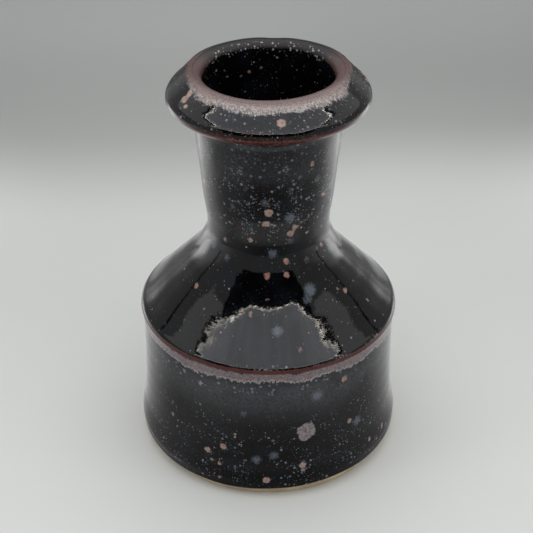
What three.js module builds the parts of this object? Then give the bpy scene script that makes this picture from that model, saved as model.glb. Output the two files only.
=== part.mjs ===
// A wheel-thrown stoneware bud vase: a low drum with a sharp shoulder edge, a cone that sweeps up into a
// flared neck, and a wedge-shaped collar whose top slopes up to a round lip. Millimetres, +Z up.
// The origin is the centre of the foot, on the surface that the vase stands on.
//
// The clay is three thrown sections, which meet face to face at two luting seams: the drum, the shoulder
// with the neck, and the collar. Two coats of glaze lie on the clay: one outside, from the bare foot to
// the lip, and one inside, from the lip to the floor. Every piece is a turned ring around the Z axis.
import * as THREE from "three";

// ---- Driving dimensions ----
const FACETS = 48; // flats round the circumference, the same on every piece, so that they meet exactly

const DRUM_RADIUS = 39.5; // the upright wall, at its waist
const BULGE = 2.3; // how far the wall swells out above the foot
const EDGE_RADIUS = 40.1; // the crest of the shoulder edge
const EDGE_HEIGHT = 48.1;
const THROAT_RADIUS = 18.1; // the narrowest part of the neck, outside
const THROAT_HEIGHT = 75;
const NECK_TOP_RADIUS = 22.7; // where the neck runs into the underside of the collar
const NECK_TOP_HEIGHT = 112.9;
const COLLAR_RADIUS = 29.6; // the collar's outer edge
const COLLAR_HEIGHT = 117.9;
const LIP_RADIUS = 21.6; // the circle that the lip's round section is swept along
const LIP_HEIGHT = 123.3;
const LIP_ROUND = 2.5;

const WALL = 4.4; // clay and both coats, on the drum
const NECK_WALL = 3.9;
const FLOOR_TOP = 6.4; // the glazed floor inside, at its centre

const COAT = 0.7; // outer glaze on open walls
const THIN_COAT = 0.4; // glaze breaks thin over every edge
const LINER = 0.5; // inner glaze

const FOOT_OUTER = 38.6; // the flat, bare ring that the vase stands on
const FOOT_INNER = 33;
const FOOT_RECESS = 2; // how deep the underside is turned out inside the ring
const FOOT_FLARE = 2.1; // how far the bare clay leans out between the ring and the glaze line
const GLAZE_LINE = 3; // the height where the outer glaze stops

// ---- Profile helpers: x is the radius, y the height, z the glaze thickness at that point ----
const at = (radius, height, glaze) => new THREE.Vector3(radius, height, glaze);

// A smooth run through a few stations.
function sweep(stations, steps) {
  return new THREE.CatmullRomCurve3(stations, false, "centripetal").getPoints(steps);
}

// Part of a circle, from one angle to another in degrees, counted from straight outwards towards up.
function arc(radius, height, round, from, to, glaze, steps) {
  return Array.from({ length: steps + 1 }, (_, i) => {
    const angle = THREE.MathUtils.degToRad(THREE.MathUtils.lerp(from, to, i / steps));
    return at(radius + round * Math.cos(angle), height + round * Math.sin(angle), glaze);
  });
}

// The runs one after another. A run that starts where the last one ended adds that point once.
function chain(...runs) {
  const points = [];
  for (const point of runs.flat()) {
    if (!points.length || points.at(-1).distanceTo(point) > 0.01) points.push(point);
  }
  return points;
}

// The clay surface under a glazed outline: each point moved in by its own glaze thickness. The clay lies
// on the left of an outline that is followed from the foot, over the lip, and down to the floor.
function clayUnder(outline) {
  return outline.map((point, i) => {
    const before = outline[Math.max(i - 1, 0)];
    const after = outline[Math.min(i + 1, outline.length - 1)];
    const along = new THREE.Vector2(after.x - before.x, after.y - before.y).normalize();
    const radius = point.x > 0 ? point.x - along.y * point.z : 0;
    return new THREE.Vector2(radius, point.y + along.x * point.z);
  });
}

// ---- The glazed outside, from the glaze line up to the top of the lip ----
const wall = sweep(
  [
    at(FOOT_OUTER + FOOT_FLARE, GLAZE_LINE, THIN_COAT),
    at(DRUM_RADIUS + BULGE - 0.3, GLAZE_LINE + 2, COAT),
    at(DRUM_RADIUS + BULGE, 7.2, COAT),
    at(DRUM_RADIUS + 1.1, 14, COAT),
    at(DRUM_RADIUS + 0.5, 21, COAT),
    at(DRUM_RADIUS, 34.5, COAT),
    at(DRUM_RADIUS + 0.2, EDGE_HEIGHT - 2.2, COAT),
  ],
  10,
);
const edge = [
  wall.at(-1),
  at(EDGE_RADIUS - 0.2, EDGE_HEIGHT - 0.6, THIN_COAT),
  at(EDGE_RADIUS, EDGE_HEIGHT, THIN_COAT),
  at(EDGE_RADIUS - 0.4, EDGE_HEIGHT + 0.8, THIN_COAT),
];
const cone = sweep(
  [
    edge.at(-1),
    at(EDGE_RADIUS - 2, EDGE_HEIGHT + 3.4, COAT),
    at(EDGE_RADIUS - 7.4, EDGE_HEIGHT + 8.7, COAT),
    at(EDGE_RADIUS - 13, EDGE_HEIGHT + 13.4, COAT),
    at(THROAT_RADIUS + 4.3, THROAT_HEIGHT - 7.5, COAT),
    at(THROAT_RADIUS, THROAT_HEIGHT, COAT),
  ],
  9,
);
const neck = sweep(
  [
    cone.at(-1),
    at(THROAT_RADIUS + 1.5, THROAT_HEIGHT + 12.5, COAT),
    at(THROAT_RADIUS + 2.8, THROAT_HEIGHT + 25.4, COAT),
    at(NECK_TOP_RADIUS, NECK_TOP_HEIGHT, COAT),
  ],
  4,
);
const lip = arc(LIP_RADIUS, LIP_HEIGHT, LIP_ROUND, 35, 90, THIN_COAT, 2);
const collar = sweep(
  [
    neck.at(-1),
    at(COLLAR_RADIUS - 4.4, COLLAR_HEIGHT - 3.5, COAT),
    at(COLLAR_RADIUS - 1.3, COLLAR_HEIGHT - 2.2, THIN_COAT),
    at(COLLAR_RADIUS, COLLAR_HEIGHT, THIN_COAT),
    at(COLLAR_RADIUS - 0.6, COLLAR_HEIGHT + 1.8, THIN_COAT),
    at(COLLAR_RADIUS - 3.4, COLLAR_HEIGHT + 4.4, COAT),
    lip[0],
  ],
  9,
);
const outside = chain(wall, edge, cone, neck, collar, lip);

// ---- The glazed inside, from the top of the lip down to the middle of the floor ----
const mouth = chain(
  arc(LIP_RADIUS, LIP_HEIGHT, LIP_ROUND, 90, 180, THIN_COAT, 3),
  sweep(
    [
      at(LIP_RADIUS - LIP_ROUND, LIP_HEIGHT, THIN_COAT),
      at(NECK_TOP_RADIUS - NECK_WALL + 0.1, LIP_HEIGHT - 6, LINER),
      at(NECK_TOP_RADIUS - NECK_WALL, NECK_TOP_HEIGHT, LINER),
    ],
    2,
  ),
);
const throat = sweep(
  [
    mouth.at(-1),
    at(THROAT_RADIUS + 2.2 - NECK_WALL, THROAT_HEIGHT + 21, LINER),
    at(THROAT_RADIUS - NECK_WALL, THROAT_HEIGHT - 1, LINER),
    at(THROAT_RADIUS + 5 - WALL, THROAT_HEIGHT - 11.5, LINER),
    at(EDGE_RADIUS - 11.5 - WALL, EDGE_HEIGHT + 8.5, LINER),
    at(EDGE_RADIUS - 3.4 - WALL, EDGE_HEIGHT + 1.4, LINER),
    at(DRUM_RADIUS - WALL, EDGE_HEIGHT - 4, LINER),
  ],
  10,
);
const belly = sweep(
  [
    throat.at(-1),
    at(DRUM_RADIUS + 0.4 - WALL, 22, LINER),
    at(DRUM_RADIUS - WALL, FLOOR_TOP + 6, LINER),
    at(DRUM_RADIUS - WALL - 3.5, FLOOR_TOP + 1.2, LINER),
    at(DRUM_RADIUS / 2, FLOOR_TOP + 0.2, LINER),
    at(0, FLOOR_TOP, LINER),
  ],
  8,
);
const inside = chain(mouth, throat, belly);

// ---- The clay surfaces, cut at the two seams ----
const outerClay = clayUnder(outside);
const innerClay = clayUnder(inside);
innerClay[0] = outerClay.at(-1); // both coats meet on one clay crest

const lowSeamOut = outside.indexOf(wall.at(-1));
const highSeamOut = outside.indexOf(neck.at(-1));
const highSeamIn = inside.indexOf(mouth.at(-1));
const lowSeamIn = inside.indexOf(throat.at(-1));

const underside = [
  new THREE.Vector2(0, FOOT_RECESS),
  new THREE.Vector2(FOOT_INNER - 1.5, FOOT_RECESS),
  new THREE.Vector2(FOOT_INNER - 0.4, 0.6),
  new THREE.Vector2(FOOT_INNER, 0),
  new THREE.Vector2(FOOT_OUTER, 0),
  new THREE.Vector2(FOOT_OUTER + 0.4, 0.4),
  new THREE.Vector2(FOOT_OUTER + 1.3, 1.9),
];

// ---- Pieces ----
const stoneware = new THREE.MeshStandardMaterial({ color: 0xb8a27e, roughness: 0.85, metalness: 0 });
const blackGlaze = new THREE.MeshStandardMaterial({ color: 0x17181a, roughness: 0.12, metalness: 0 });

// A piece turned around Z from its section, which runs up the outside and back down the inside.
function turned(name, section, material) {
  const points = section.map((point) => new THREE.Vector2(point.x, point.y));
  if (points[0].x > 0) points.push(points[0]);
  const geometry = new THREE.LatheGeometry(points, FACETS);
  geometry.rotateX(Math.PI / 2);
  const piece = new THREE.Mesh(geometry, material);
  piece.name = name;
  return piece;
}

const vase = new THREE.Group();
vase.add(
  turned(
    "clay_drum",
    [...underside, ...outerClay.slice(0, lowSeamOut + 1), ...innerClay.slice(lowSeamIn)],
    stoneware,
  ),
  turned(
    "clay_shoulder_and_neck",
    [
      ...outerClay.slice(lowSeamOut, highSeamOut + 1),
      ...innerClay.slice(highSeamIn, lowSeamIn + 1),
    ],
    stoneware,
  ),
  turned(
    "clay_collar",
    [...outerClay.slice(highSeamOut), ...innerClay.slice(1, highSeamIn + 1)],
    stoneware,
  ),
  turned("outer_glaze", [...outside, ...outerClay.toReversed()], blackGlaze),
  turned("liner_glaze", [...innerClay.toReversed(), ...inside], blackGlaze),
);

export default vase;
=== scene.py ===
"""A hand-thrown bud vase in speckled black glaze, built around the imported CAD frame.

Outlines are in millimetres: (radius, height) pairs turned around Z. An azimuth is in degrees: 0 faces
the front (-Y), 90 is the right side (+X) and 180 the back. Meshes are made in metres.
"""

import bpy
import numpy as np
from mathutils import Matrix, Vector


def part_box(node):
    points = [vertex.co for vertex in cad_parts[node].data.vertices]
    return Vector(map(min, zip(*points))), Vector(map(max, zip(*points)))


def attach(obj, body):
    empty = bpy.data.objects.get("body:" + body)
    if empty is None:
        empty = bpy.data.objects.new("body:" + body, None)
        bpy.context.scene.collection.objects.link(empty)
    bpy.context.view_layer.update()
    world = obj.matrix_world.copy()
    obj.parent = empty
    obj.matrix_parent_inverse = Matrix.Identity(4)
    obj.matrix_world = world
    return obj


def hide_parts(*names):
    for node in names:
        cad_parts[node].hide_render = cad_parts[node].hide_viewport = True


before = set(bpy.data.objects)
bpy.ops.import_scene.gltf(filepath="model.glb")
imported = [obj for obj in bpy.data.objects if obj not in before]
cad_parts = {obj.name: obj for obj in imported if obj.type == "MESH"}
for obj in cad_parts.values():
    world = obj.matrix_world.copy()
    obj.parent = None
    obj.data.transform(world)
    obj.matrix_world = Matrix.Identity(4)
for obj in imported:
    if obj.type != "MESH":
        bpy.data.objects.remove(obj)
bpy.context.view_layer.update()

MM = 0.001

# ---- Driving dimensions, from the frame ----
glaze_low, glaze_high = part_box("outer_glaze")
BULGE_RADIUS = glaze_high.x / MM - 0.1  # the widest part, just above the foot
GLAZE_LINE = glaze_low.z / MM  # the mean height where the outer glaze stops
TOP = glaze_high.z / MM

DRUM_RADIUS = BULGE_RADIUS - 2.2
EDGE_RADIUS = DRUM_RADIUS + 0.6  # the crest of the shoulder edge
EDGE_HEIGHT = 48.1
THROAT_RADIUS = 18.6
THROAT_HEIGHT = 75.8
NECK_TOP_RADIUS = 22.7
NECK_TOP_HEIGHT = 112.9
COLLAR_RADIUS = 29.6
COLLAR_HEIGHT = 117.9
LIP_ROUND = 2.5
LIP_RADIUS = 21.6
LIP_HEIGHT = TOP - LIP_ROUND
WALL = 4.4
NECK_WALL = 3.9
FLOOR_TOP = 6.4
FOOT_OUTER = 38.6
FOOT_INNER = 33
FOOT_RECESS = 2

COAT = 0.65
LINER = 0.5
FACETS = 340  # flats round the outer glaze and the drum
COARSE_FACETS = 180  # and round the pieces that show less

DRUM_RING_PITCH = 5.3  # from one throwing ring to the next
NECK_RING_PITCH = 3.7
RING_DEPTH = 0.012


# ---- Outlines ----
def smooth(stations, spacing):
    """A centripetal Catmull-Rom curve through the stations, with points about `spacing` apart."""
    p = np.array(stations, float)
    p = np.vstack([2 * p[0] - p[1], p, 2 * p[-1] - p[-2]])
    run = [p[1]]
    for a, b, c, d in zip(p, p[1:], p[2:], p[3:]):
        t = np.cumsum([0] + [np.sqrt(np.linalg.norm(w - v)) for v, w in ((a, b), (b, c), (c, d))])
        count = max(2, int(np.ceil(np.linalg.norm(c - b) / spacing)) + 1)
        for u in np.linspace(t[1], t[2], count)[1:]:
            ab = a + (b - a) * (u - t[0]) / (t[1] - t[0])
            bc = b + (c - b) * (u - t[1]) / (t[2] - t[1])
            cd = c + (d - c) * (u - t[2]) / (t[3] - t[2])
            low = ab + (bc - ab) * (u - t[0]) / (t[2] - t[0])
            high = bc + (cd - bc) * (u - t[1]) / (t[3] - t[1])
            run.append(low + (high - low) * (u - t[1]) / (t[2] - t[1]))
    return np.array(run)


def round_off(radius, height, bend, start, end):
    """Part of a circle, from one angle to another in degrees, counted from straight outwards."""
    angle = np.radians(np.linspace(start, end, 30))
    return np.c_[radius + bend * np.cos(angle), height + bend * np.sin(angle)]


def distances(outline):
    return np.r_[0, np.cumsum(np.linalg.norm(np.diff(outline, axis=0), axis=1))]


class Outline:
    """A curve that can be asked for the point and the outward direction at any distance along it."""

    def __init__(self, points):
        keep = np.r_[True, np.linalg.norm(np.diff(points, axis=0), axis=1) > 1e-4]
        self.points = points[keep]
        self.s = distances(self.points)
        self.length = self.s[-1]
        along = np.gradient(self.points, self.s, axis=0)
        normal = np.c_[along[:, 1], -along[:, 0]]
        self.normals = normal / np.linalg.norm(normal, axis=1)[:, None]

    def at(self, s):
        return np.stack([np.interp(s, self.s, self.points[:, k]) for k in (0, 1)], axis=-1)

    def off(self, s, thickness):
        normal = np.stack([np.interp(s, self.s, self.normals[:, k]) for k in (0, 1)], axis=-1)
        return self.at(s) + normal * np.asarray(thickness)[..., None]

    def where(self, height):
        """The distance along the outline at which it first passes this height."""
        z = self.points[:, 1]
        crossing = np.nonzero((z[:-1] - height) * (z[1:] - height) <= 0)[0][0]
        share = (height - z[crossing]) / (z[crossing + 1] - z[crossing])
        return self.s[crossing] + share * (self.s[crossing + 1] - self.s[crossing])


wall = smooth(
    [
        (FOOT_OUTER + 1.6, 1.9),
        (FOOT_OUTER + 2.1, 3),
        (BULGE_RADIUS - 0.3, 5),
        (BULGE_RADIUS, 7.2),
        (DRUM_RADIUS + 1.1, 14),
        (DRUM_RADIUS + 0.5, 21),
        (DRUM_RADIUS, 34.5),
        (DRUM_RADIUS + 0.1, EDGE_HEIGHT - 3.4),
        (EDGE_RADIUS - 0.15, EDGE_HEIGHT - 1),
        (EDGE_RADIUS, EDGE_HEIGHT),
        (EDGE_RADIUS - 0.4, EDGE_HEIGHT + 0.8),
        (EDGE_RADIUS - 1.7, EDGE_HEIGHT + 1.97),
        (EDGE_RADIUS - 4.75, EDGE_HEIGHT + 4.76),
        (EDGE_RADIUS - 8.5, EDGE_HEIGHT + 8.35),
        (EDGE_RADIUS - 12.15, EDGE_HEIGHT + 12.1),
        (THROAT_RADIUS + 6.3, THROAT_HEIGHT - 12),
        (THROAT_RADIUS + 3.6, THROAT_HEIGHT - 8.3),
        (THROAT_RADIUS + 1.3, THROAT_HEIGHT - 4.1),
        (THROAT_RADIUS, THROAT_HEIGHT),
        (THROAT_RADIUS + 1.1, THROAT_HEIGHT + 11.7),
        (THROAT_RADIUS + 2.3, THROAT_HEIGHT + 24.6),
        (NECK_TOP_RADIUS, NECK_TOP_HEIGHT),
        (COLLAR_RADIUS - 4.4, COLLAR_HEIGHT - 3.5),
        (COLLAR_RADIUS - 1.1, COLLAR_HEIGHT - 2),
        (COLLAR_RADIUS, COLLAR_HEIGHT),
        (COLLAR_RADIUS - 0.7, COLLAR_HEIGHT + 1.8),
        (COLLAR_RADIUS - 3.4, COLLAR_HEIGHT + 4.4),
        (LIP_RADIUS + LIP_ROUND * 0.82, LIP_HEIGHT + LIP_ROUND * 0.57),
    ],
    0.12,
)
glazed_outside = np.vstack([wall, round_off(LIP_RADIUS, LIP_HEIGHT, LIP_ROUND, 36, 90)])
inside_walls = smooth(
    [
        (LIP_RADIUS - LIP_ROUND, LIP_HEIGHT),
        (NECK_TOP_RADIUS - NECK_WALL + 0.1, LIP_HEIGHT - 6),
        (NECK_TOP_RADIUS - NECK_WALL, NECK_TOP_HEIGHT),
        (THROAT_RADIUS + 1.8 - NECK_WALL, THROAT_HEIGHT + 20),
        (THROAT_RADIUS - 0.2 - NECK_WALL, THROAT_HEIGHT - 2),
        (THROAT_RADIUS + 4.5 - WALL, THROAT_HEIGHT - 12.5),
        (EDGE_RADIUS - 11.5 - WALL, EDGE_HEIGHT + 8.5),
        (EDGE_RADIUS - 3.4 - WALL, EDGE_HEIGHT + 1.4),
        (DRUM_RADIUS - WALL, EDGE_HEIGHT - 4),
        (DRUM_RADIUS + 0.4 - WALL, 22),
        (DRUM_RADIUS - WALL, FLOOR_TOP + 6),
        (DRUM_RADIUS - WALL - 3.5, FLOOR_TOP + 1.2),
        (DRUM_RADIUS / 2, FLOOR_TOP + 0.2),
        (0, FLOOR_TOP),
    ],
    0.2,
)
glazed_inside = np.vstack([round_off(LIP_RADIUS, LIP_HEIGHT, LIP_ROUND, 90, 180), inside_walls])


def clay_under(outline, thickness):
    """The clay's own outline: the glazed one, moved in by the thickness of the glaze."""
    glazed = Outline(outline)
    clay = glazed.off(glazed.s, np.full(len(glazed.s), -thickness))
    clay[:, 0] = np.maximum(clay[:, 0], 0)
    return clay


outer_clay = clay_under(glazed_outside, COAT)
inner_clay = clay_under(glazed_inside, LINER)
inner_clay[0] = outer_clay[-1]
inner_clay[-1, 0] = 0
foot_chamfer = [(FOOT_OUTER, 0), (FOOT_OUTER + 0.35, 0.25), (FOOT_OUTER + 0.75, 1.1)]
outer_clay = np.vstack([smooth(foot_chamfer, 0.12), outer_clay])

OUTSIDE = Outline(outer_clay)
INSIDE = Outline(inner_clay)

LINE_S = OUTSIDE.where(GLAZE_LINE)
EDGE_S = OUTSIDE.where(EDGE_HEIGHT)
COLLAR_S = OUTSIDE.where(COLLAR_HEIGHT)
LIP_S = OUTSIDE.length
THROAT_S = OUTSIDE.where(THROAT_HEIGHT)


# ---- The hand-made unevenness, the same on every piece so that the layers stay together ----
def wave(azimuth, seed, terms=((2, 1.0), (3, 0.7), (5, 0.4), (9, 0.2))):
    """A smooth closed wave round the circumference, between about -1 and 1."""
    rng = np.random.default_rng(seed)
    turn = np.radians(azimuth)
    total = sum(size * np.sin(count * turn + rng.uniform(0, 2 * np.pi)) for count, size in terms)
    return total / sum(size for _, size in terms)


def ease(low, high, value):
    t = np.clip((value - low) / (high - low), 0, 1)
    return t * t * (3 - 2 * t)


def spiral(pitch, height, azimuth):
    """The groove that a finger leaves as the wall is pulled up."""
    return RING_DEPTH * np.sin(2 * np.pi * (height - azimuth / 360 * pitch) / pitch)


def thrown(radius, height, azimuth):
    """Where the potter's hands left each point: a little out of round, wavy at the lip, ringed."""
    upper = ease(NECK_TOP_HEIGHT - 2, COLLAR_HEIGHT, height)
    lip = ease(COLLAR_HEIGHT + 1, TOP, height)
    drum = ease(THROAT_HEIGHT, EDGE_HEIGHT, height)
    out_of_round = 0.0015 * (1 + wave(azimuth, 11)) + 0.003 * upper * (1 + wave(azimuth, 12))
    radius = radius * (1 - out_of_round)
    rings = spiral(DRUM_RING_PITCH, height, azimuth) * drum * ease(3, 9, height)
    rings += spiral(NECK_RING_PITCH, height, azimuth) * (1 - drum) * (1 - upper)
    swell = 1.1 * ease(49, 57, height) * ease(68, 60, height) * (1 - np.cos(np.radians(azimuth))) / 2
    radius = radius + rings + swell * ease(10, 20, radius) - 0.02
    tilt = 0.45 * np.sin(np.radians(azimuth)) - 0.45
    dip = 0.12 * (wave(azimuth, 13) - 1) - 0.3 * np.exp(-(((azimuth % 360) - 176) / 9) ** 2)
    height = height + upper * tilt * 0.4 + lip * dip
    around = np.abs(azimuth)
    behind = 0.9 * np.exp(-(((around - 132) / 32) ** 2)) + 0.35 * ease(140, 175, around)
    radius = radius + behind * lip * ease(19.4, 23.5, radius)
    return radius, height


def placed(section, azimuth):
    """Grid of points in metres: section is (rows, azimuths, 2) or (rows, 2)."""
    if section.ndim == 2:
        section = np.repeat(section[:, None, :], len(azimuth), axis=1)
    radius, height = thrown(section[..., 0], section[..., 1], azimuth[None, :])
    radius = np.where(section[..., 0] < 1e-6, 0, radius)
    turn = np.radians(azimuth)
    return np.stack([radius * np.sin(turn), -radius * np.cos(turn), height], axis=-1) * MM


# ---- Meshes ----
def turned(name, grid, node, material, loop, layers=None):
    """A closed mesh from a grid of points (rows, azimuths): a loop in section, or poles at both ends."""
    rows, columns, _ = grid.shape
    if loop:
        verts = grid.reshape(-1, 3)
        index = np.arange(rows * columns).reshape(rows, columns)
        index = np.vstack([index, index[:1]])
    else:
        verts = np.vstack([grid[:1, 0], grid[1:-1].reshape(-1, 3), grid[-1:, 0]])
        index = np.arange(1, 1 + (rows - 2) * columns).reshape(rows - 2, columns)
    right = np.roll(index, -1, axis=1)
    quads = np.stack([index[:-1], right[:-1], right[1:], index[1:]], axis=-1).reshape(-1, 4)
    faces = quads.tolist()
    if not loop:
        last = len(verts) - 1
        faces += [(0, b, a) for a, b in zip(index[0], right[0])]
        faces += [(last, a, b) for a, b in zip(index[-1], right[-1])]
    mesh = bpy.data.meshes.new(name)
    mesh.from_pydata(verts.tolist(), [], faces)
    mesh.update()
    mesh.shade_smooth()
    for key, values in (layers or {}).items():
        layer = mesh.attributes.new(key, "FLOAT", "POINT")
        flat = values.reshape(-1)
        if not loop:
            flat = np.r_[values[0, 0], values[1:-1].reshape(-1), values[-1, 0]]
        layer.data.foreach_set("value", flat.astype(np.float32))
    mesh.materials.append(material)
    piece = bpy.data.objects.new(name, mesh)
    bpy.context.scene.collection.objects.link(piece)
    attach(piece, "root")
    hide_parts(node)
    return piece


AZIMUTHS = np.linspace(-180, 180, FACETS, endpoint=False)
COARSE = np.linspace(-180, 180, COARSE_FACETS, endpoint=False)


def spaced(start, end, fine_at, fine, coarse, reach):
    """Distances from start to end, close together near the given places and wider elsewhere."""
    marks = [start]
    while marks[-1] < end:
        gap = min(abs(marks[-1] - place) for place in fine_at)
        marks.append(marks[-1] + fine + (coarse - fine) * ease(reach * 0.4, reach, gap))
    return np.array(marks[:-1] + [end])


# ---- Spots in the glaze: azimuth, height, radius. Only a few large ones are listed ----
LARGE_FLAKES = [
    (0, 90, 1.5), (-2, 86, 1.3), (20, 82, 1.4), (15, 52, 1), (35, 40, 1.3), (-20, 18, 1.3), (15, 12, 1.3),
]  # fmt: skip
LARGE_PALE = [(17, 25, 2.6), (15, 25, 2), (18, 24, 2.2), (16, 23, 2.2)]
LARGE_HAZES = [(30, 64, 2.2), (26, 62, 1.5)]


def scattered(count, low, high, small, large, seed):
    """Random spots all the way round, between two heights; small ones are the commonest."""
    rng = np.random.default_rng(seed)
    azimuth = rng.uniform(-180, 180, count)
    height = rng.uniform(low, high, count)
    size = small + (large - small) * rng.random(count) ** 2
    return list(zip(azimuth, height, size))


OUTER_FLAKES = (
    LARGE_FLAKES
    + scattered(44, 6, 20, 0.6, 1.4, 21)
    + scattered(22, 20, 43, 0.6, 1.3, 22)
    + scattered(38, 51, 74, 0.7, 1.3, 23)
    + scattered(56, 76, 108, 0.7, 1.6, 24)
    + scattered(18, 119.5, 123, 0.5, 1.4, 28)
)
OUTER_PALE = LARGE_PALE + scattered(20, 7, 42, 0.6, 1.2, 25)
OUTER_HAZES = LARGE_HAZES + scattered(60, 8, 110, 0.9, 2, 26) + scattered(70, 77, 109, 0.5, 1.1, 27)
INNER_FLAKES = scattered(24, 105, 121, 0.6, 1.1, 33) + scattered(26, 60, 105, 0.6, 1.3, 31)


def centres(spots, outline):
    """The spots' centres in millimetres and their radii."""
    azimuth, height, size = np.array(spots, float).T
    radius = outline.at(np.array([outline.where(z) for z in height]))[:, 0]
    turn = np.radians(azimuth)
    return np.c_[radius * np.sin(turn), -radius * np.cos(turn), height], size


def inside_by(grid, spots, outline, least=-2.0):
    """For each grid point, how many mm it is inside the nearest spot; negative outside."""
    points = grid.reshape(-1, 3) / MM
    best = np.full(len(points), least)
    for centre, size in zip(*centres(spots, outline)):
        best = np.maximum(best, size - np.linalg.norm(points - centre, axis=1))
    return best.reshape(grid.shape[:2])


# ---- Materials ----
def linear(red, green, blue):
    """A display colour, 0 to 255, as the scene-linear colour that a socket takes."""
    return tuple(float(((c / 255 + 0.055) / 1.055) ** 2.4) for c in (red, green, blue)) + (1.0,)


class Finish:
    """A node material. Each method adds one node and gives back its output."""

    def __init__(self, name):
        self.material = bpy.data.materials.new(name)
        self.material.use_nodes = True
        self.tree = self.material.node_tree
        self.shader = self.tree.nodes["Principled BSDF"]
        self.place = self.node("ShaderNodeTexCoord").outputs["Object"]
        scale = self.node("ShaderNodeVectorMath", operation="SCALE")
        self.feed(scale.inputs[0], self.place)
        self.feed(scale.inputs["Scale"], 1 / MM)
        self.mm = scale.outputs[0]

    def node(self, kind, **settings):
        node = self.tree.nodes.new(kind)
        for key, value in settings.items():
            setattr(node, key, value)
        return node

    def feed(self, socket, value):
        if isinstance(value, bpy.types.NodeSocket):
            self.tree.links.new(value, socket)
        else:
            socket.default_value = value

    def math(self, operation, *values):
        node = self.node("ShaderNodeMath", operation=operation)
        for socket, value in zip(node.inputs, values):
            self.feed(socket, value)
        return node.outputs[0]

    def add(self, a, b):
        return self.math("ADD", a, b)

    def times(self, a, b):
        return self.math("MULTIPLY", a, b)

    def ramp(self, value, low, high):
        """0 below low, 1 above high, smooth between; low may be the larger one."""
        node = self.node("ShaderNodeMapRange", interpolation_type="SMOOTHSTEP")
        for socket, item in zip(node.inputs, (value, low, high, 0.0, 1.0)):
            self.feed(socket, item)
        return node.outputs[0]

    def window(self, value, rise, full, fade, end):
        """1 between full and fade, falling to 0 at rise and end."""
        return self.times(self.ramp(value, rise, full), self.ramp(value, end, fade))

    def mix(self, share, a, b):
        node = self.node("ShaderNodeMix", data_type="RGBA")
        for index, item in ((0, share), (6, a), (7, b)):
            self.feed(node.inputs[index], item)
        return node.outputs[2]

    def stretched(self, across, up):
        """The place in mm, stretched so that patterns differ across and up the wall."""
        node = self.node("ShaderNodeVectorMath", operation="MULTIPLY")
        self.feed(node.inputs[0], self.mm)
        self.feed(node.inputs[1], (across, across, up))
        return node.outputs[0]

    def noise(self, scale, detail=2.0, place=None, rough=0.5):
        node = self.node("ShaderNodeTexNoise")
        self.feed(node.inputs["Vector"], place or self.mm)
        for key, value in (("Scale", scale), ("Detail", detail), ("Roughness", rough)):
            self.feed(node.inputs[key], value)
        return node.outputs[0]

    def cells(self, scale, shift=0.0):
        """Distance to the nearest random point, in cells, and a random number for that point."""
        move = self.node("ShaderNodeVectorMath", operation="ADD")
        self.feed(move.inputs[0], self.mm)
        self.feed(move.inputs[1], (shift, shift, shift))
        node = self.node("ShaderNodeTexVoronoi")
        self.feed(node.inputs["Vector"], move.outputs[0])
        self.feed(node.inputs["Scale"], scale)
        split = self.node("ShaderNodeSeparateColor")
        self.feed(split.inputs[0], node.outputs["Color"])
        return node.outputs["Distance"], split.outputs[0], split.outputs[1]

    def layer(self, name):
        return self.node("ShaderNodeAttribute", attribute_name=name).outputs["Fac"]

    def bump(self, height, distance, strength=1.0, under=None):
        node = self.node("ShaderNodeBump")
        self.feed(node.inputs["Height"], height)
        self.feed(node.inputs["Distance"], distance * MM)
        self.feed(node.inputs["Strength"], strength)
        if under:
            self.feed(node.inputs["Normal"], under)
        return node.outputs[0]

    def finish(self, **sockets):
        for key, value in sockets.items():
            self.feed(self.shader.inputs[key.replace("_", " ").title()], value)
        return self.material


BLACK = linear(12, 14, 19)
INK = linear(3, 3, 4)
TEAL = linear(22, 32, 42)
RUST = linear(142, 88, 66)
BROWN = linear(148, 118, 106)
PINK = linear(168, 148, 138)
LAVENDER = linear(144, 130, 130)
CREAM = linear(180, 172, 166)
CREST = linear(88, 44, 34)
DARK_RED = linear(64, 34, 30)
MAUVE = linear(96, 78, 76)
HAZE = linear(104, 112, 122)
# Grey of the bloom layer: partly a real bloom in the glaze, partly painted reflection.
BLOOM_AND_REFLECTION = linear(62, 63, 66)
SPECK = linear(134, 138, 143)


def specks(finish, scale, shift, size, share):
    """Round specks: share is the fraction of cells that hold one, size the largest radius in cells."""
    distance, luck, other = finish.cells(scale, shift)
    radius = finish.times(finish.add(finish.times(other, 0.7), 0.3), size)
    shape = finish.ramp(distance, radius, finish.times(radius, 0.55))
    return finish.times(shape, finish.math("LESS_THAN", luck, share))


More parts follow.
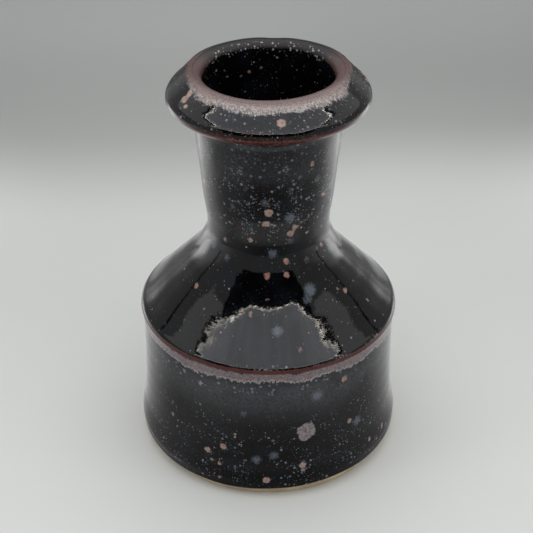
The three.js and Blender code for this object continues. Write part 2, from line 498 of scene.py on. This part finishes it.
def black_glaze(name, bands):
    """Glossy black with specks, haze and flakes; bands(finish, colour, along) adds the broken edges."""
    g = Finish(name)
    along = g.layer("along")
    cloud = g.noise(0.11, 4.0)
    colour = g.mix(g.ramp(cloud, 0.4, 0.72), INK, BLACK)
    patchy = g.add(g.times(g.ramp(g.noise(0.13, 3.0), 0.38, 0.68), 0.8), 0.2)
    density = g.times(patchy, g.layer("specks"))
    neck = g.ramp(along, THROAT_S - 4, THROAT_S + 6)
    sand = g.times(specks(g, 3.1, 1.0, 0.6, g.times(density, 0.4)), 0.22)
    fine = g.times(specks(g, 1.5, 3.0, 0.48, g.times(density, 0.5)), 0.62)
    share = g.times(density, g.add(g.times(neck, 0.3), 0.35))
    medium = g.times(specks(g, 0.78, 9.0, 0.46, share), 0.7)
    tone = g.mix(g.ramp(g.noise(0.5, 1.0), 0.42, 0.58), SPECK, HAZE)
    tone = g.mix(g.ramp(g.noise(0.37, 1.0, g.stretched(1, 1.3)), 0.56, 0.66), tone, PINK)
    colour = g.mix(g.math("MAXIMUM", sand, g.math("MAXIMUM", fine, medium)), colour, tone)
    fuzz = g.times(g.add(g.noise(1.6, 3.0), -0.5), 2.2)
    haze = g.times(g.ramp(g.add(g.layer("haze"), fuzz), -0.4, 1.2), 0.7)
    # Where the bloom layer turns grey: partly bloom in the glaze, partly painted reflection.
    bloom_and_reflection = g.times(g.ramp(cloud, 0.2, 0.5), g.ramp(g.noise(1.2, 4.0, rough=0.7), 0.2, 0.6))
    colour = g.mix(g.times(g.layer("bloom_and_reflection"), bloom_and_reflection), colour, BLOOM_AND_REFLECTION)
    colour = g.mix(haze, colour, HAZE)
    colour, matt, lift = bands(g, colour, along)
    ragged = g.times(g.add(g.noise(1.0, 2.0), -0.5), 1.1)
    body = g.add(g.layer("flake"), ragged)
    flake = g.ramp(body, -0.12, 0.3)
    shades = g.ramp(g.noise(0.9, 2.0), 0.36, 0.56)
    core = g.mix(g.layer("warm"), g.mix(shades, BROWN, PINK), g.mix(shades, RUST, BROWN))
    colour = g.mix(g.times(flake, 0.9), colour, core)
    pale = g.ramp(g.add(g.layer("pale"), ragged), -0.1, 0.3)
    veins = g.ramp(g.noise(1.4, 3.0), 0.36, 0.56)
    veined = g.mix(veins, linear(100, 90, 92), linear(146, 136, 138))
    colour = g.mix(g.times(pale, 0.9), colour, veined)
    spots = g.math("MAXIMUM", flake, pale)
    rough = g.add(g.times(g.noise(0.6, 3.0), 0.05), 0.02)
    behind = g.math("SUBTRACT", 1.0, front_of(g, -4, -22))
    rough = g.add(rough, g.times(behind, 0.09))
    rough = g.add(rough, g.add(g.times(spots, 0.15), g.times(matt, 0.16)))
    peel = g.bump(g.noise(0.75, 2.0), 0.014)
    pits = g.bump(g.noise(0.2, 1.0), 0.014, under=peel)
    grain = g.bump(g.noise(2.6, 2.0), 0.0025, under=pits)
    raised = g.bump(g.add(g.times(spots, 0.5), lift), 0.03, under=grain)
    return g.finish(base_color=colour, roughness=rough, normal=raised)


def front_of(g, back, front):
    """1 towards the front of the vase, 0 behind, from two distances along Y in mm."""
    split = g.node("ShaderNodeSeparateXYZ")
    g.feed(split.inputs[0], g.mm)
    return g.ramp(split.outputs[1], back, front)


def outer_bands(g, colour, along):
    """The glaze breaks over the shoulder edge, the collar's edge and the lip, where it runs thin."""
    drip = g.times(g.add(g.noise(0.1, 2.0), -0.5), 4.0)
    rag = g.times(g.add(g.noise(1.1, 4.0, g.stretched(1, 0.45), 0.7), -0.5), 2.6)
    wander = g.add(drip, rag)
    streaks = g.noise(1.3, 3.0, g.stretched(1, 0.5), 0.6)
    dots = specks(g, 1.5, 12.0, 0.42, 0.5)
    beads = specks(g, 0.8, 14.0, 0.5, 0.5)
    grain = g.noise(2.6, 4.0, rough=0.7)

    fringe = g.window(g.add(along, g.times(wander, 0.8)), EDGE_S - 7.5, EDGE_S - 5, EDGE_S, EDGE_S + 1)
    colour = g.mix(g.times(fringe, 0.6), colour, TEAL)
    sparks = g.window(g.add(along, wander), EDGE_S - 12, EDGE_S - 6.5, EDGE_S - 4, EDGE_S - 3)
    colour = g.mix(g.times(g.times(sparks, beads), 0.75), colour, linear(118, 124, 130))
    broken = g.add(along, g.add(wander, g.times(rag, 0.7)))
    veil = g.window(broken, EDGE_S - 4.5, EDGE_S - 4.1, EDGE_S - 0.3, EDGE_S)
    lilac = g.mix(g.ramp(grain, 0.4, 0.6), linear(88, 84, 96), LAVENDER)
    lilac = g.mix(g.ramp(streaks, 0.5, 0.68), lilac, linear(140, 112, 108))
    lilac = g.mix(g.times(dots, 0.7), lilac, CREAM)
    hem = g.window(broken, EDGE_S - 4.6, EDGE_S - 4.3, EDGE_S - 3.9, EDGE_S - 3.3)
    lilac = g.mix(g.times(hem, 0.6), lilac, CREAM)
    gaps = g.times(g.ramp(broken, EDGE_S - 1.6, EDGE_S - 3.4), g.ramp(grain, 0.5, 0.38))
    colour = g.mix(g.times(veil, g.add(0.92, g.times(gaps, -0.6))), colour, lilac)
    shaky = g.add(along, g.times(rag, 0.25))
    crest = g.window(shaky, EDGE_S - 0.75, EDGE_S - 0.35, EDGE_S + 0.2, EDGE_S + 0.45)
    colour = g.mix(g.times(crest, 0.95), colour, g.mix(streaks, DARK_RED, CREST))

    glint = g.window(shaky, COLLAR_S - 0.6, COLLAR_S, COLLAR_S + 1.6, COLLAR_S + 2.4)
    colour = g.mix(g.times(g.times(glint, dots), 0.5), colour, linear(120, 84, 62))
    ragged = g.add(along, g.times(rag, 0.4))
    rim = g.window(ragged, COLLAR_S - 2.9, COLLAR_S - 2.2, COLLAR_S - 0.5, COLLAR_S + 0.5)
    red = g.mix(g.ramp(streaks, 0.35, 0.6), linear(60, 32, 28), linear(100, 54, 48))
    colour = g.mix(g.times(rim, 0.85), colour, red)

    # Along Y, fixed to the vase: the lip is mottled cream at the front, mauve round the sides and nearly
    # black over the back half, with a brown crown only at the front and a brown thread only at the back.
    front = front_of(g, 4, -21)
    reach = g.add(g.times(front, -2.3), LIP_S - 1.3)
    edge = g.add(along, g.add(g.times(wander, 1.35), g.times(reach, -1)))
    sparkle = g.window(edge, -2.2, -1.2, 0.2, 0.8)
    colour = g.mix(g.times(g.times(sparkle, dots), 0.75), colour, linear(120, 132, 146))
    lip = g.ramp(edge, -0.5, 0.3)
    blotches = g.ramp(g.add(g.times(streaks, 0.5), g.times(grain, 0.5)), 0.42, 0.58)
    mottled = g.mix(blotches, linear(112, 104, 108), CREAM)
    mottled = g.mix(g.times(dots, 0.7), mottled, linear(206, 200, 194))
    grainy = g.mix(g.ramp(grain, 0.38, 0.6), linear(130, 112, 107), linear(176, 162, 156))
    tone = g.mix(g.ramp(edge, 2.0, 0.6), grainy, mottled)
    tone = g.mix(front, MAUVE, tone)
    shade = front_of(g, 16, 2)
    far_side = g.mix(g.ramp(streaks, 0.45, 0.7), linear(6, 6, 8), linear(34, 30, 29))
    tone = g.mix(shade, far_side, tone)
    colour = g.mix(g.times(lip, 0.92), colour, tone)
    crown = g.times(g.ramp(shaky, LIP_S - 2.0, LIP_S - 0.6), g.times(shade, 0.8))
    colour = g.mix(crown, colour, linear(88, 66, 62))
    unshaded = g.math("SUBTRACT", 1.0, shade)
    thread = g.times(g.window(shaky, LIP_S - 2.4, LIP_S - 2.0, LIP_S - 1.4, LIP_S - 1.0), unshaded)
    colour = g.mix(g.times(thread, 0.7), colour, linear(104, 66, 50))
    dry = g.times(lip, g.add(g.times(unshaded, 1.6), 1.0))
    matt = g.math("MAXIMUM", veil, g.math("MAXIMUM", dry, crest))
    return colour, matt, g.times(g.math("MINIMUM", matt, 1.0), 0.3)


def inner_bands(g, colour, along):
    """Inside, the brown of the lip ends at a ragged line, with a mottled grey ring under it."""
    rag = g.times(g.add(g.noise(1.0, 4.0, g.stretched(1, 0.6), 0.7), -0.5), 3.0)
    streaks = g.noise(1.2, 3.0, g.stretched(1, 0.6), 0.6)
    dots = specks(g, 1.5, 12.0, 0.4, 0.4)
    # Along Y, fixed to the vase: the brown inside the lip is at the front only, and the sparkle line only at
    # the back.
    shade = front_of(g, 14, 0)
    inner = g.add(g.add(along, g.times(shade, -1.3)), g.times(rag, 0.7))
    ring = g.ramp(inner, 4.0, 2.9)
    mottle = g.mix(g.ramp(streaks, 0.42, 0.64), linear(5, 5, 7), linear(26, 26, 27))
    colour = g.mix(g.times(ring, 0.8), colour, mottle)
    beads = specks(g, 1.1, 20.0, 0.5, 0.6)
    unshaded = g.math("SUBTRACT", 1.0, shade)
    sparkle = g.times(g.window(inner, 0.8, 1.6, 3.2, 4.2), unshaded)
    sparkle = g.times(sparkle, g.math("MAXIMUM", dots, beads))
    colour = g.mix(g.times(sparkle, 0.85), colour, linear(168, 166, 160))
    lip = g.ramp(inner, 3.0, 2.3)
    brown = g.mix(streaks, linear(70, 50, 48), linear(112, 90, 88))
    colour = g.mix(g.times(lip, g.add(g.times(shade, 0.85), 0.05)), colour, brown)
    dry = g.times(lip, g.add(g.times(unshaded, 1.6), 1.0))
    return colour, dry, g.times(lip, 0.2)


def bare_clay():
    g = Finish("bare_stoneware")
    grain = g.noise(1.8, 4.0)
    patch = g.noise(0.12, 3.0)
    colour = g.mix(g.ramp(patch, 0.35, 0.7), linear(176, 154, 122), linear(206, 188, 156))
    colour = g.mix(g.times(g.ramp(grain, 0.55, 0.75), 0.5), colour, linear(140, 112, 82))
    grit = specks(g, 1.2, 5.0, 0.28, 0.18)
    colour = g.mix(g.times(grit, 0.7), colour, linear(92, 66, 46))
    rough = g.add(g.times(grain, 0.2), 0.65)
    normal = g.bump(g.noise(2.4, 4.0), 0.05)
    return g.finish(base_color=colour, roughness=rough, normal=normal)


# ---- The vase ----
clay = bare_clay()

fine_places = (LINE_S, EDGE_S, COLLAR_S, LIP_S)
marks = spaced(LINE_S, LIP_S, fine_places, 0.34, 0.84, 7)
share = (marks - LINE_S) / (LIP_S - LINE_S)
line_wave = 0.9 * wave(AZIMUTHS, 5, ((1, 0.5), (2, 0.7), (4, 0.4), (11, 0.25), (23, 0.12)))
line_wave += 0.8 + 0.9 * np.exp(-(((AZIMUTHS - 22) / 26) ** 2))
line_wave -= 0.5 * np.exp(-(((AZIMUTHS + 35) / 25) ** 2))
near_line = 1 - ease(0, 7, marks - LINE_S)
glaze_s = marks[:, None] + near_line[:, None] * line_wave[None, :]
from_line = glaze_s - glaze_s[:1]
roll = np.sqrt(np.clip(1 - (1 - np.clip(from_line / 0.7, 0, 1)) ** 2, 0, 1))
thick = COAT * roll * (1 + 0.5 * np.exp(-((from_line - 0.9) ** 2) / 0.8))
outer_face = OUTSIDE.off(glaze_s, thick)
back_rows = np.arange(len(marks) - 1, 0, -4)
outer_back = OUTSIDE.at(glaze_s[back_rows])
outer_grid = placed(np.concatenate([outer_face, outer_back]), AZIMUTHS)
outer_along = np.concatenate([glaze_s, glaze_s[back_rows]])
high_row = np.exp(-(((outer_along - OUTSIDE.where(105.5)) / 3) ** 2))
speck_density = 0.16 + 0.94 * ease(EDGE_S - 6, 8, outer_along) + 1.6 * high_row
above_throat = ease(THROAT_S, THROAT_S + 8, outer_along)
below_collar = 0.5 + 0.6 * ease(COLLAR_S + 3, COLLAR_S - 4, outer_along)
to_the_right = 1 + 0.5 * np.sin(np.radians(AZIMUTHS))
speck_density += above_throat * below_collar * to_the_right
# Bloom layer: partly a real bloom, partly painted reflection, below the shoulder edge and on the upper neck.
bloom_and_reflection = 0.9 * ease(EDGE_S - 21, EDGE_S - 9, outer_along) * ease(EDGE_S, EDGE_S - 6, outer_along)
neck_bloom_and_reflection = ease(OUTSIDE.where(96), OUTSIDE.where(103), outer_along)
bloom_and_reflection += 0.5 * neck_bloom_and_reflection * ease(COLLAR_S, COLLAR_S - 5, outer_along)
warm = ease(THROAT_S - 22, THROAT_S - 12, outer_along) * ease(THROAT_S, THROAT_S - 5, outer_along)
turned(
    "outer_glaze_coat",
    outer_grid,
    "outer_glaze",
    black_glaze("black_glaze_outside", outer_bands),
    True,
    {
        "along": outer_along,
        "flake": inside_by(outer_grid, OUTER_FLAKES, OUTSIDE),
        "pale": inside_by(outer_grid, OUTER_PALE, OUTSIDE),
        "haze": inside_by(outer_grid, OUTER_HAZES, OUTSIDE),
        "bloom_and_reflection": bloom_and_reflection,
        "warm": 0.25 + 0.75 * warm,
        "specks": speck_density,
    },
)

inner_marks = spaced(0, INSIDE.length, (0,), 0.3, 1.1, 12)
inner_face = INSIDE.off(inner_marks, np.full(len(inner_marks), LINER))
inner_face[-1, 0] = 0
inner_back = INSIDE.at(inner_marks[::-1])
inner_grid = placed(np.concatenate([inner_back[:-1], inner_face]), COARSE)
inner_along = np.concatenate([inner_marks[::-1][:-1], inner_marks])[:, None] * np.ones(len(COARSE))
turned(
    "liner_glaze_coat",
    inner_grid,
    "liner_glaze",
    black_glaze("black_glaze_inside", inner_bands),
    False,
    {
        "along": inner_along,
        "flake": inside_by(inner_grid, INNER_FLAKES, INSIDE),
        "pale": np.full(inner_grid.shape[:2], -2.0),
        "haze": inside_by(inner_grid, scattered(24, 70, 120, 0.6, 1.6, 32), INSIDE),
        "bloom_and_reflection": np.zeros(inner_grid.shape[:2]),
        "warm": np.full(inner_grid.shape[:2], 0.9),
        "specks": np.full(inner_grid.shape[:2], 0.25),
    },
)

low_seam_out = OUTSIDE.where(EDGE_HEIGHT - 2.2)
high_seam_out = OUTSIDE.where(NECK_TOP_HEIGHT)
high_seam_in = INSIDE.where(NECK_TOP_HEIGHT)
low_seam_in = INSIDE.where(EDGE_HEIGHT - 4)


def between(outline, start, end, spacing=1.2):
    return outline.at(np.linspace(start, end, max(3, int(abs(end - start) / spacing))))


underside = np.array(
    [(0, FOOT_RECESS), (12, FOOT_RECESS), (24, FOOT_RECESS), (FOOT_INNER - 2.4, FOOT_RECESS - 0.05),
     (FOOT_INNER - 1.2, FOOT_RECESS - 0.4), (FOOT_INNER - 0.5, 0.7), (FOOT_INNER, 0.15),
     (FOOT_INNER + 0.5, 0), (FOOT_OUTER - 1, 0)]
)  # fmt: skip
turned(
    "drum_clay",
    placed(
        np.vstack(
            [underside, between(OUTSIDE, 0, LINE_S + 3, 0.3), between(OUTSIDE, LINE_S + 4, low_seam_out),
             between(INSIDE, low_seam_in, INSIDE.length)]
        ),
        AZIMUTHS,
    ),
    "clay_drum",
    clay,
    False,
)  # fmt: skip
shoulder_outside = between(OUTSIDE, low_seam_out, high_seam_out)
shoulder_inside = between(INSIDE, high_seam_in, low_seam_in)
turned(
    "shoulder_and_neck_clay",
    placed(np.vstack([shoulder_outside, shoulder_inside]), COARSE),
    "clay_shoulder_and_neck",
    clay,
    True,
)
turned(
    "collar_clay",
    placed(
        np.vstack([between(OUTSIDE, high_seam_out, LIP_S, 0.7), between(INSIDE, 0.1, high_seam_in, 0.7)]),
        COARSE,
    ),
    "clay_collar",
    clay,
    True,
)


# ---- Stage: a pale sheet under a soft-box tent ----
def card(name, corners, material, faces=None, **seen):
    """A flat polygon of the stage, or several; seen switches which rays meet it."""
    mesh = bpy.data.meshes.new(name)
    mesh.from_pydata([Vector(c) for c in corners], [], faces or [tuple(range(len(corners)))])
    mesh.materials.append(material)
    piece = bpy.data.objects.new(name, mesh)
    bpy.context.scene.collection.objects.link(piece)
    for key, value in seen.items():
        setattr(piece, key, value)
    return piece


def mirrored(name, corners, material, faces=None):
    """A card that only reflections see: it lights nothing and shades nothing."""
    seen = {"visible_camera": False, "visible_diffuse": False, "visible_shadow": False}
    return card(name, corners, material, faces, **seen)


def light(name, corners, strength):
    """A soft light that no reflection shows."""
    return card(name, corners, glow(name, strength), visible_camera=False, visible_glossy=False)


def glow(name, strength, tint=(1, 1, 1, 1)):
    """A light's material. strength is a number, or a function that makes nodes from the place in mm."""
    g = Finish(name)
    emission = g.node("ShaderNodeEmission")
    if callable(strength):
        split = g.node("ShaderNodeSeparateXYZ")
        g.feed(split.inputs[0], g.mm)
        strength = strength(g, *split.outputs)
    g.feed(emission.inputs["Strength"], strength)
    g.feed(emission.inputs["Color"], tint)
    g.tree.links.new(emission.outputs[0], g.tree.nodes["Material Output"].inputs["Surface"])
    return g.material


def paper():
    """A pale sheet with painted shade: it darkens towards the back, a little further back on the right."""
    g = Finish("pale_sheet")
    split = g.node("ShaderNodeSeparateXYZ")
    g.feed(split.inputs[0], g.mm)
    across, away = split.outputs[0], split.outputs[1]
    away = g.add(away, g.times(g.ramp(across, -20, 60), -20))
    mottle = g.noise(0.02, 2.0)
    near = g.mix(g.times(mottle, 0.3), (0.74, 0.755, 0.735, 1), (0.72, 0.735, 0.715, 1))
    # Painted shade: a slow darkening to 110 mm behind, a dark band from about 122 to 208 mm back, lighter
    # again out to 390 mm.
    colour = g.mix(g.ramp(away, -70, 110), near, (0.665, 0.678, 0.66, 1))
    colour = g.mix(g.ramp(away, 122, 208), colour, (0.452, 0.461, 0.449, 1))
    colour = g.mix(g.ramp(away, 225, 390), colour, (0.655, 0.665, 0.65, 1))
    rough = g.add(g.times(mottle, 0.1), 0.8)
    return g.finish(base_color=colour, roughness=rough, normal=g.bump(g.noise(0.8, 3.0), 0.01))


FLOOR = 3.0  # half the width of the sheet
card("floor", [(-FLOOR, -FLOOR, 0), (FLOOR, -FLOOR, 0), (FLOOR, FLOOR, 0), (-FLOOR, FLOOR, 0)], paper())

TENT_TOP = 0.3
TENT_BACK = 0.26
TENT_SIDE = 0.27
FRAY_STEP = 0.009  # between the points of the ceiling's loose edge
FRAY_DEPTH = 0.0035
HEM_WIDTHS = (0.002, 0.006)
FRAME_WIDTH = 0.018
CEILING = [
    (-0.18, TENT_BACK), (-0.18, -0.09), (-0.28, -0.1), (-0.24, -0.14), (-0.16, -0.2), (-0.11, -0.25),
    (0.16, -0.25), (0.19, -0.2), (0.23, -0.14), (0.28, -0.1), (0.18, -0.09), (0.18, TENT_BACK),
]  # fmt: skip


def level(outline, height):
    return [(x, y, height) for x, y in outline]


def frayed(outline, seed):
    """A loose, uneven edge along the outline, then an edge just inside it and one well outside it."""
    rng = np.random.default_rng(seed)
    corners = np.array(outline)
    points = []
    for start, end in zip(corners[:-1], corners[1:]):
        count = max(1, int(np.linalg.norm(end - start) / FRAY_STEP))
        points += [start + (end - start) * i / count for i in range(count)]
    points = np.array(points + [corners[-1]])
    along = np.gradient(points, axis=0)
    inward = np.c_[-along[:, 1], along[:, 0]] / np.linalg.norm(along, axis=1)[:, None]
    loose = points + inward * rng.uniform(-FRAY_DEPTH, FRAY_DEPTH, len(points))[:, None]
    width = rng.uniform(*HEM_WIDTHS, len(points))
    width *= 1 - 0.55 * ease(0.17, 0.22, np.abs(points[:, 0]))
    return loose, loose + inward * width[:, None], loose - inward * FRAME_WIDTH


def ribbon(one, other, height):
    """Corners and faces of a strip between two edges."""
    corners = level(one, height) + level(other, height)
    n = len(one)
    return corners, [(i, i + 1, n + i + 1, n + i) for i in range(n - 1)]


def hem_strength(g, x, y, z):
    """The loose edge catches the light unevenly."""
    return g.add(g.times(g.ramp(g.noise(0.07, 2.0), 0.4, 0.62), 13.0), 10.0)


def ceiling_strength(g, x, y, z):
    """Softly clouded, brighter towards both sides and a little towards the front."""
    sides = g.times(g.ramp(g.math("ABSOLUTE", x), 90, 250), 0.6)
    cloud = g.times(g.add(g.noise(0.03, 3.0), -0.5), 0.9)
    return g.add(g.add(sides, cloud), g.add(g.times(g.ramp(y, -60, -200), 0.3), 1.2))


def wall_strength(g, x, y, z):
    """Dim, with a soft bright patch low down towards the back and a faint glow in front of it."""
    patch = g.times(g.window(y, 70, 150, 205, 285), g.times(g.ramp(z, 90, 48), 2.8))
    haze = g.times(g.window(y, -230, 60, 110, 175), g.times(g.ramp(z, 135, 80), 0.6))
    return g.add(g.add(patch, haze), 0.34)


def back_strength(g, x, y, z):
    """Dim in the middle, a little brighter towards the sides, and bright low down in both corners."""
    side = g.math("ABSOLUTE", x)
    corner = g.times(g.ramp(side, 205, 265), g.times(g.ramp(z, 62, 20), 1.1))
    return g.add(corner, g.add(g.times(g.ramp(side, 120, 190), 0.3), 0.14))


def floor_strength(g, x, y, z):
    """What the glaze mirrors of the floor: dark, with a pool of light in front and glare behind."""
    turn = g.math("ABSOLUTE", g.math("ARCTAN2", x, g.times(y, -1)))
    reach = g.math("SQRT", g.add(g.times(x, x), g.times(y, y)))
    pool = g.times(g.window(reach, 55, 94, 102, 120), g.times(g.ramp(turn, 1.3, 0.6), 0.34))
    front = g.add(g.times(g.ramp(turn, 0.1, 1.2), 0.18), pool)
    glare = g.times(g.window(turn, 1.5, 2.0, 2.35, 2.66), g.times(g.ramp(reach, 110, 230), 1.45))
    wide = g.ramp(g.math("ABSOLUTE", x), 95, 165)
    glare = g.times(glare, g.math("MAXIMUM", wide, g.ramp(y, 262, 200)))
    close = g.times(g.ramp(turn, 1.3, 1.9), g.times(g.ramp(reach, 165, 110), 0.1))
    side = g.times(g.ramp(turn, 1.15, 2.0), g.times(g.ramp(y, 225, 165), 0.3))
    return g.add(g.add(front, g.add(glare, close)), g.add(side, 0.13))


LIGHT_ASIDE = 0.39
light("ceiling_light", level(CEILING, TENT_TOP + 0.004), 1.6)
for side, name, strength in ((-1, "left", 3.0), (1, "right", 2.4)):
    x = side * LIGHT_ASIDE
    light(f"{name}_light", [(x, -0.3, 0.12), (x, -0.1, 0.12), (x, -0.1, 0.32), (x, -0.3, 0.32)], strength)
light("front_light", [(0.2, -0.48, 0.1), (0.42, -0.34, 0.1), (0.42, -0.34, 0.3), (0.2, -0.48, 0.3)], 1.2)
ceiling_edge, hem_edge, frame_edge = frayed(CEILING, 41)
mirrored("ceiling", level(ceiling_edge, TENT_TOP), glow("ceiling", ceiling_strength, (0.97, 0.985, 1.05, 1)))
corners, faces = ribbon(ceiling_edge, hem_edge, TENT_TOP - 0.001)
mirrored("hem", corners, glow("hem", hem_strength, (1, 0.94, 0.82, 1)), faces)
MARGIN = [
    (-0.45, TENT_BACK), (-0.45, -0.1), (-0.3, -0.16), (0.3, -0.16), (0.45, -0.1), (0.45, TENT_BACK),
]  # fmt: skip
mirrored("ceiling_margin", level(MARGIN, TENT_TOP + 0.002), glow("margin", 0.85))
dark = glow("dark", 0.0)
corners, faces = ribbon(ceiling_edge, frame_edge, TENT_TOP + 0.001)
mirrored("ceiling_frame", corners, dark, faces)
OVERHEAD = [(-0.27, -0.16), (-0.5, -0.6), (0.45, -0.6), (0.24, -0.16)]
mirrored("dark_overhead", level(OVERHEAD, TENT_TOP + 0.001), dark)
PHOTOGRAPHER = [
    (-0.32, 0.23), (-0.2, 0.2), (0, 0.18), (0.18, 0.2), (0.24, 0.24), (0.25, 0.34), (-0.34, 0.34),
]  # fmt: skip
PHOTOGRAPHER_Y = -0.275
mirrored("photographer", [(x, PHOTOGRAPHER_Y, z) for x, z in PHOTOGRAPHER], dark)

walls = glow("walls", wall_strength)
back = [(-TENT_SIDE, TENT_BACK, 0.02), (TENT_SIDE, TENT_BACK, 0.02), (TENT_SIDE, TENT_BACK, TENT_TOP),
        (-TENT_SIDE, TENT_BACK, TENT_TOP)]  # fmt: skip
mirrored("back_wall", back, glow("back_wall", back_strength))
for side, name in ((-1, "left"), (1, "right")):
    x = side * TENT_SIDE
    mirrored(f"{name}_wall", [(x, -0.3, 0), (x, TENT_BACK, 0), (x, TENT_BACK, 0.2), (x, -0.3, 0.2)], walls)
    x = side * (TENT_SIDE - 0.003)
    seam = [(x, -0.038, 0.07), (x, -0.025, 0.07), (x, 0.1, 0.2), (x, 0.087, 0.2)]
    mirrored(f"{name}_seam", seam, dark)
ground = [(-TENT_SIDE, -0.6), (TENT_SIDE, -0.6), (TENT_SIDE, TENT_BACK), (-TENT_SIDE, TENT_BACK)]
mirrored("mirrored_floor", level(ground, 0.0005), glow("mirrored_floor", floor_strength))

world = bpy.data.worlds.new("room")
world.use_nodes = True
world.node_tree.nodes["Background"].inputs["Color"].default_value = (0.34, 0.345, 0.35, 1)
bpy.context.scene.world = world

# ---- Camera ----
CAMERA_DISTANCE = 0.375
CAMERA_ELEVATION = np.radians(33.32)
AIM = Vector((-0.0006, 0, 0.0587))
camera_data = bpy.data.cameras.new("camera")
camera_data.lens = 81.3
camera_data.sensor_width = 36
camera_data.clip_start = 0.01
camera = bpy.data.objects.new("camera", camera_data)
bpy.context.scene.collection.objects.link(camera)
direction = Vector((0, -np.cos(CAMERA_ELEVATION), np.sin(CAMERA_ELEVATION)))
camera.location = AIM + direction * CAMERA_DISTANCE
camera.rotation_euler = direction.to_track_quat("Z", "Y").to_euler()
bpy.context.scene.camera = camera
bpy.context.scene.view_settings.view_transform = "Standard"
